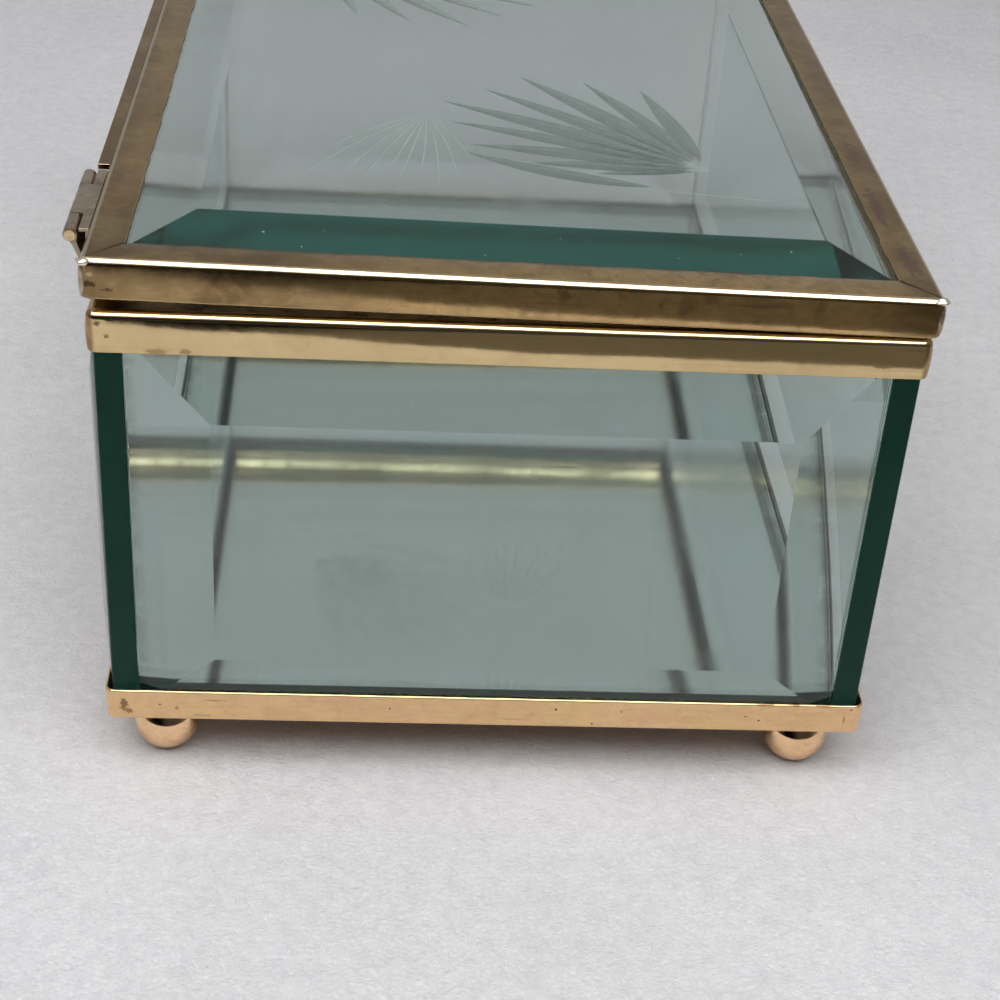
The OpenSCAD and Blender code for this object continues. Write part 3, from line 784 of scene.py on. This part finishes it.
# heading, length, width, bend and how far from the stem's foot each leaf starts
FAN = [(189, 13.0, 1.9, 0.05, 2.0), (180, 20.5, 2.9, 0.02, 2.4), (167, 29.0, 3.6, 0.16, 2.0), (157, 32.0, 3.2, 0.10, 3.2), (147, 36.0, 3.9, 0.12, 2.6),
       (136, 34.0, 3.2, 0.10, 3.4), (125, 35.0, 3.6, 0.08, 2.8), (113, 29.0, 2.9, 0.10, 3.4), (101, 25.0, 2.7, 0.06, 3.0)]
for side in (1, -1):
    turn = 0 if side > 0 else 180
    tag = "near" if side > 0 else "far"
    for i, (deg, length, width, bend, gap) in enumerate(FAN):
        ang = math.radians(deg + turn)
        b = (side * 26.0 + gap * math.cos(ang), side * -40.0 + gap * math.sin(ang))
        leaf(f"leaf_{tag}_{i}", b, ang, length, width, bend, material=frost_m if side > 0 else frost_soft)
        # the cut that runs on as a hairline to the stem's foot
        leaf(f"vein_{tag}_{i}", (side * 26.0, side * -40.0), ang - bend * 0.1, gap + 1.5, 0.16, 0.0, depth=0.06, n=6, material=line_m)
    # one long leaf under the spray, with its stem
    leaf(f"leaf_{tag}_low", (side * 18.0, side * -46.0), math.radians(172 + turn), 24.5, 3.0, -0.40, material=frost_m if side > 0 else frost_soft)
    leaf(f"stem_{tag}_low", (side * 33.0, side * -48.3), math.radians(176 + turn), 18.0, 0.17, -0.10, depth=0.06, n=20, material=line_m)
    # fine single strokes, like the rays of a small flower
    for i, (deg, length, bend) in enumerate([(228, 25, 0.30), (238, 21, 0.22), (247, 22, 0.14), (255, 18, 0.06), (262, 20, -0.04), (270, 17, -0.10), (278, 20, -0.18),
                                             (287, 18, -0.26), (218, 16, 0.36), (298, 14, -0.30)]):
        a = math.radians(deg + turn)
        b = (side * -10.0 + 2.2 * math.cos(a), side * -25.5 + 2.2 * math.sin(a))
        leaf(f"stroke_{tag}_{i}", b, a, length, 0.15, bend, depth=0.05, n=24, material=line_m)

# ---------------------------------------------------------------- glass that stays from the CAD, with ground arrises
for n in ("left_end_glass", "right_end_glass", "front_glass", "back_glass", "lid_glass", "mirror_glass"):
    o = nodes[n]
    w = o.modifiers.new("weld", "WELD")
    w.merge_threshold = 1e-6
    b = o.modifiers.new("arris", "BEVEL")
    b.width = 0.12 * MM
    b.segments = 2
    b.limit_method = "ANGLE"
    b.angle_limit = math.radians(30)
for n in ("left_hinge_case_leaf", "right_hinge_case_leaf", "left_hinge_lid_leaf", "right_hinge_lid_leaf", "lid_back_strip"):
    o = nodes[n]
    w = o.modifiers.new("weld", "WELD")
    w.merge_threshold = 1e-6
    b = o.modifiers.new("edge", "BEVEL")
    b.width = 0.06 * MM
    b.segments = 2
    b.limit_method = "ANGLE"
    b.angle_limit = math.radians(40)

# the silver coat, standing 0.02 mm into the glass that it lies on
lo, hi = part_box("mirror_silvering")
coat = box_piece("silver_coat", lo, (hi.x, hi.y, hi.z + 0.02 * MM), silver_m, "case")
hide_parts("mirror_silvering")
lo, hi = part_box("backing_board")
board = box_piece("card_board", lo, (hi.x, hi.y, hi.z - 0.04 * MM), board_m, "case")
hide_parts("backing_board")
lo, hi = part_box("corner_cement")
parts = []
for sx in (0, 1):
    for sy in (0, 1):
        x0 = lo.x if sx == 0 else hi.x - 0.1 * MM
        y0 = lo.y if sy == 0 else hi.y - 3.2 * MM
        parts.append(((x0 + 0.02 * MM, y0 + 0.05 * MM, lo.z), (x0 + 0.08 * MM, y0 + 3.15 * MM, hi.z)))
for i, (a, b) in enumerate(parts):
    c = box_piece(f"cement_line_{i}", a, b, cement_m, "case")
    if i == 0:
        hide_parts("corner_cement")

# ---------------------------------------------------------------- stage
me = bpy.data.meshes.new("floor")
bm = bmesh.new()
bmesh.ops.create_grid(bm, x_segments=2, y_segments=2, size=3)
bm.to_mesh(me)
bm.free()
floor = bpy.data.objects.new("floor", me)
scene.collection.objects.link(floor)
fm = bpy.data.materials.new("floor_cloth")
tf = Tree(fm)
of_ = tf.obj()
pf = tf.n("ShaderNodeBsdfPrincipled")
cloth = tf.mix(tf.ramp(tf.noise(of_, 25, 5, 0.6), [(0.35, 0.0), (0.7, 1.0)]), (0.755, 0.745, 0.765, 1), (0.81, 0.80, 0.82, 1))
nap = tf.step(tf.noise(of_, 420, 6, 0.72, 0.5), 0.30, 0.66)
cloth = tf.mix(nap, tf.mix(1.0, cloth, (0.90, 0.895, 0.90, 1), blend="MULTIPLY"), cloth)
tf.put(pf, "Base Color", cloth)
pf.inputs["Roughness"].default_value = 0.95
bf = tf.n("ShaderNodeBump")
bf.inputs["Strength"].default_value = 0.7
bf.inputs["Distance"].default_value = 0.0010
tf.put(bf, "Height", tf.math("ADD", tf.noise(of_, 1500, 6, 0.78, 0.6), tf.math("MULTIPLY", tf.noise(of_, 170, 3, 0.6), 1.0)))
tf.put(pf, "Normal", bf.outputs[0])
out = tf.n("ShaderNodeOutputMaterial")
tf.t.links.new(pf.outputs[0], out.inputs["Surface"])
me.materials.append(fm)

# ---------------------------------------------------------------- light
world = bpy.data.worlds.new("studio")
scene.world = world
tw = Tree(world)
d = tw.n("ShaderNodeTexCoord").outputs["Generated"]
x, y, z = tw.xyz(d)


# a grey far wall, a paler ceiling, and a dark room on the camera's side
el = tw.step(z, 0.0, 0.9, 0.36, 0.42)
dark = tw.step(y, -0.75, 0.1)
dark = tw.math("MAXIMUM", dark, tw.step(z, 0.35, 0.7))
near = tw.step(x, -0.35, 0.25, 0.002, 0.06)
lum = tw.mix(dark, near, el, kind="FLOAT")
bg = tw.n("ShaderNodeBackground")
tw.put(bg, "Color", tw.n("ShaderNodeCombineColor", ins={0: lum, 1: lum, 2: lum}).outputs[0])
bg.inputs["Strength"].default_value = 1.0
wo = tw.n("ShaderNodeOutputWorld")
tw.t.links.new(bg.outputs[0], wo.inputs["Surface"])


def area(name, loc, target, size, power, color=(1, 1, 1)):
    ld = bpy.data.lights.new(name, "AREA")
    ld.shape = "RECTANGLE"
    ld.size, ld.size_y = size
    ld.energy = power
    ld.color = color
    o = bpy.data.objects.new(name, ld)
    scene.collection.objects.link(o)
    o.location = loc
    o.rotation_mode = "QUATERNION"
    o.rotation_quaternion = (Vector(target) - Vector(loc)).to_track_quat("-Z", "Y")
    o.visible_camera = False
    return o


area("key", (-0.05, -0.27, 0.50), (0, -0.03, 0.02), (0.70, 0.40), 4.05)


# a dark card on the table in front of the cloth's edge, seen only in polished metal
def flag(name, outline, back):
    """outline: the near boundary, left to right; the card runs from it to y = back."""
    n = len(outline)
    verts = [(x * MM, y * MM, 0.001) for x, y in outline] + [(x * MM, back * MM, 0.001) for x, y in outline]
    me = bpy.data.meshes.new(name)
    me.from_pydata(verts, [], [(i, i + n, i + n + 1, i + 1) for i in range(n - 1)])
    o = bpy.data.objects.new(name, me)
    scene.collection.objects.link(o)
    m = bpy.data.materials.new(name)
    t = Tree(m)
    px, py, pz = t.xyz(t.obj())
    # brown near its edge, black beyond a line that runs further off to the right
    far_ = t.math("ADD", t.math("MULTIPLY", t.math("ADD", px, 0.048), 3.0), 0.176)
    d = t.math("SUBTRACT", t.math("SUBTRACT", NEAR * MM, py), far_)
    tone = t.step(d, -0.09, -0.02, 0.16, 0.09)
    tone = t.math("MULTIPLY", tone, t.step(d, -0.006, 0.010, 1.0, 0.04))
    e = t.n("ShaderNodeEmission")
    t.put(e, "Color", t.n("ShaderNodeCombineColor", ins={0: tone, 1: t.math("MULTIPLY", tone, 0.95), 2: t.math("MULTIPLY", tone, 0.85)}).outputs[0])
    e.inputs["Strength"].default_value = 1.0
    t.out(e)
    me.materials.append(m)
    o.visible_camera = False
    o.visible_diffuse = False
    o.visible_shadow = False
    o.visible_transmission = False
    o.visible_volume_scatter = False
    return o


flag("flag", [(-900, NEAR - 900), (-110, NEAR - 340), (-88, NEAR - 262), (-68, NEAR - 192), (-48, NEAR - 165), (-32, NEAR - 158), (-13, NEAR - 130),
              (11, NEAR - 108), (68, NEAR - 98), (1200, NEAR + 400)], NEAR - 1500)
